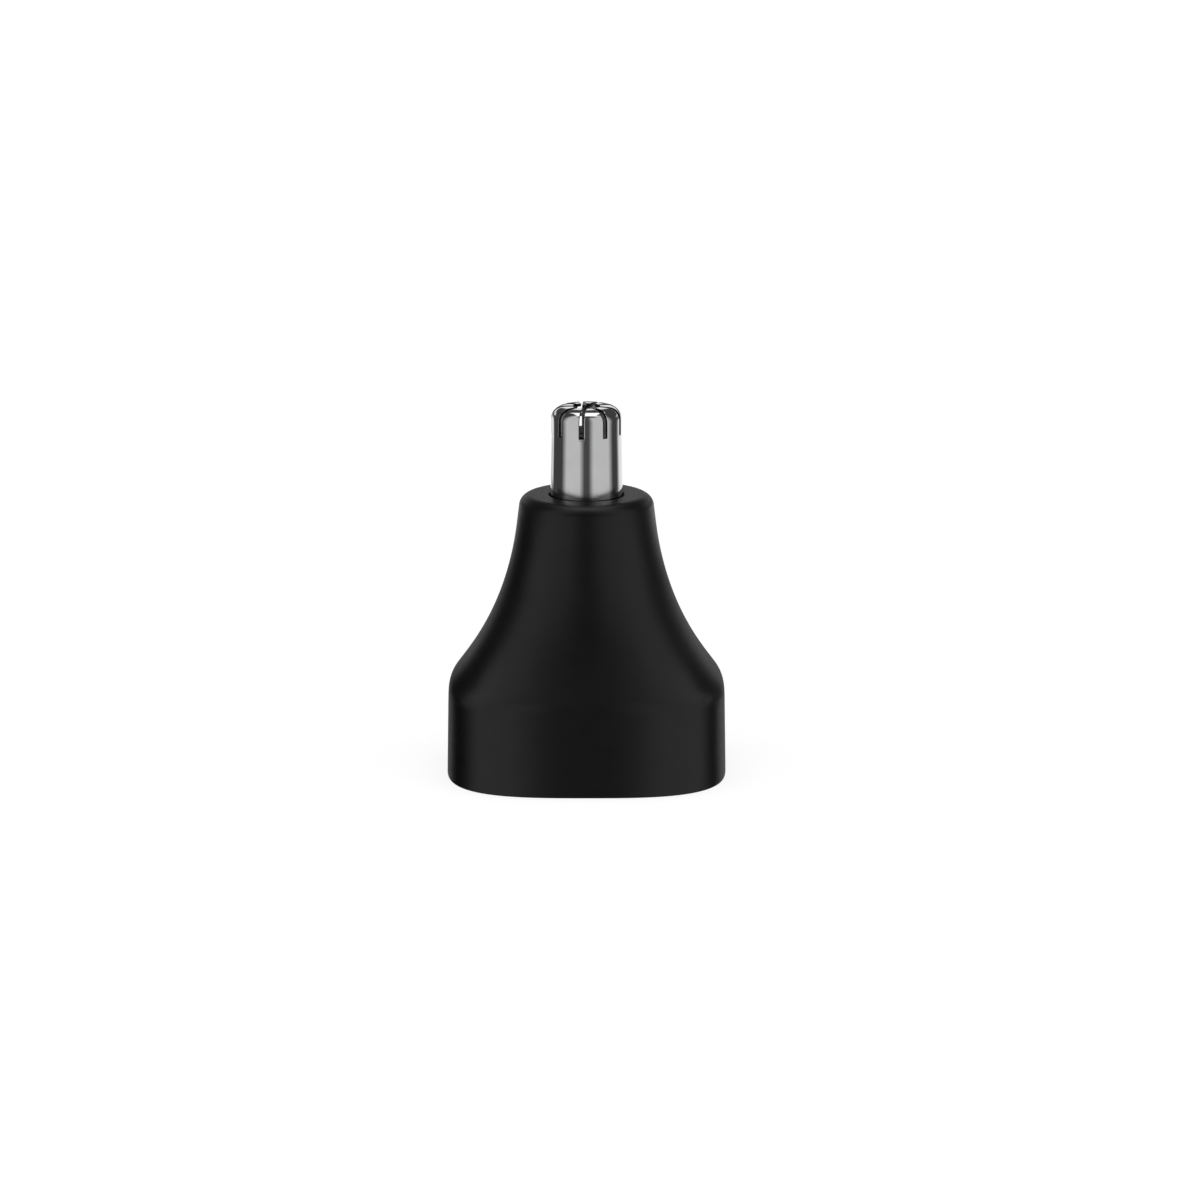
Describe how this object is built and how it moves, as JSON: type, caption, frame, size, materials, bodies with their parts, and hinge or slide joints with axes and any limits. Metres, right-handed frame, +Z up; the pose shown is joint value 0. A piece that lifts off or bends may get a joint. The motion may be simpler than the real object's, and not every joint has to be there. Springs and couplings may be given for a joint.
{
  "type": "nose hair trimmer head",
  "caption": "Flared black trimmer head with a slotted round steel tip, a sprung rotary blade inside it and a keyed socket underneath that pushes onto a shaver handle.",
  "frame": {"origin": "centre of the base rim, on the plane that the head stands on", "axes": "+Z up the tip, which is also the drive's axis; -Y towards the picture's camera; +X to the picture's right"},
  "size_m": [0.032, 0.032, 0.0425],
  "materials": {
    "shell_plastic": "fine matte moulded black",
    "tip_steel": "polished drawn stainless steel",
    "inner_plastic": "plain moulded dark grey",
    "bush_bronze": "sintered bronze",
    "screw_steel": "zinc plated steel",
    "spring_steel": "drawn spring steel",
    "blade_steel": "ground stainless steel",
    "drive_plastic": "natural acetal"
  },
  "bodies": {
    "housing": {"housing_shell": "shell_plastic", "outer_cutter": "tip_steel", "cutter_clamp": "inner_plastic", "upper_bush": "bush_bronze", "chassis": "inner_plastic", "lower_bush": "bush_bronze", "chassis_screws": "screw_steel", "spring_seat": "screw_steel", "thrust_spring": "spring_steel"},
    "float": {"thrust_washer": "screw_steel"},
    "rotor": {"spindle": "blade_steel", "blade_carrier": "inner_plastic", "inner_blade": "blade_steel", "blade_rivet": "inner_plastic", "drive_coupler": "drive_plastic", "coupler_pin": "screw_steel", "coupler_washer": "drive_plastic", "retaining_ring": "spring_steel"}
  },
  "joints": [
    {"name": "rotor_float", "type": "slide", "parent": "housing", "child": "float", "axis": [0, 0, 1], "range_m": [-0.0008, 0], "stiffness_N_per_m": 1000, "springref_m": 0.0001, "deforming": ["thrust_spring"]},
    {"name": "rotor_spin", "type": "hinge", "parent": "float", "child": "rotor", "pos_m": [0, 0, 0.02], "axis": [0, 0, 1], "continuous": true}
  ]
}
